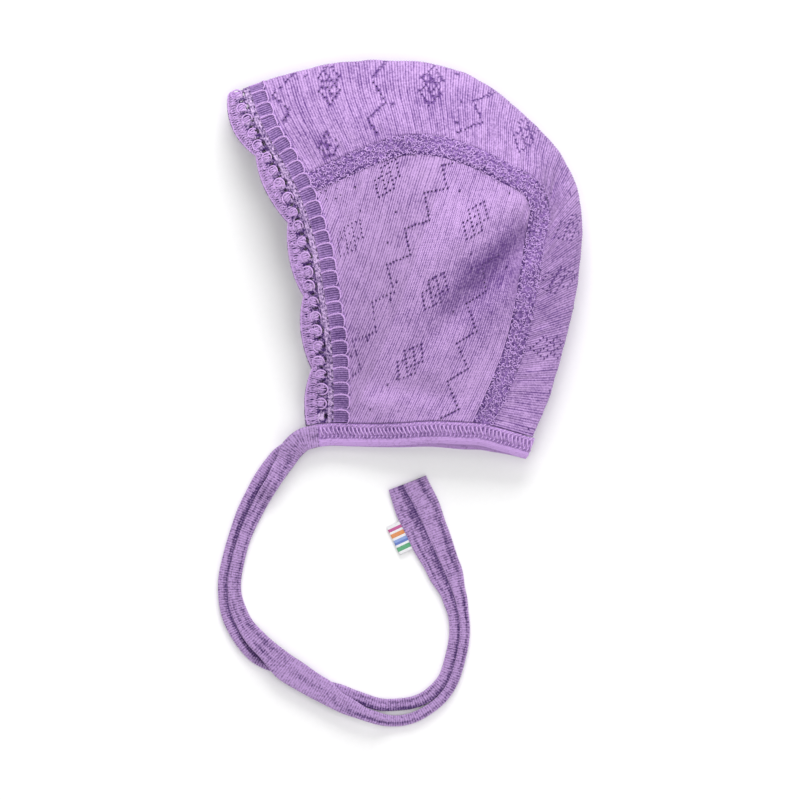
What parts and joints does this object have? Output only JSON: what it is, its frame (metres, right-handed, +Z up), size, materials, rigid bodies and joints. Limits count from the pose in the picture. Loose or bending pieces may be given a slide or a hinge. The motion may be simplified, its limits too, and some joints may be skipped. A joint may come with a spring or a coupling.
{
  "type": "knitted baby bonnet",
  "caption": "Knitted baby bonnet with a scalloped lace face edge, flat seams, a folded neck binding and two long ties laid in a loop, lying on its side.",
  "frame": {"origin": "middle of the flat underside that the bonnet lies on, on the outer face of the lower cheek panel", "axes": "+X from the face opening towards the back of the head, +Y towards the crown, +Z up from the surface that the bonnet lies on, out of the upper cheek"},
  "size_m": [0.1634, 0.2992, 0.0496],
  "materials": {
    "pointelle_knit": "fine rib knit with eyelets, matt",
    "seam_thread": "overlocked thread, matt",
    "ladder_trim": "ribbed ladder trim, matt",
    "lace": "knitted lace, matt",
    "rib_binding": "folded rib jersey, matt",
    "woven_tab": "woven ribbon with coloured bars"
  },
  "bodies": {
    "root": {"centre_panel": "pointelle_knit", "side_panel_upper": "pointelle_knit", "side_panel_lower": "pointelle_knit", "seam_upper": "seam_thread", "seam_lower": "seam_thread", "ladder_band": "ladder_trim", "scallop_lace": "lace", "neck_binding": "rib_binding", "tie_upper": "rib_binding", "tie_lower": "rib_binding", "stripe_tab": "woven_tab"}
  },
  "joints": []
}
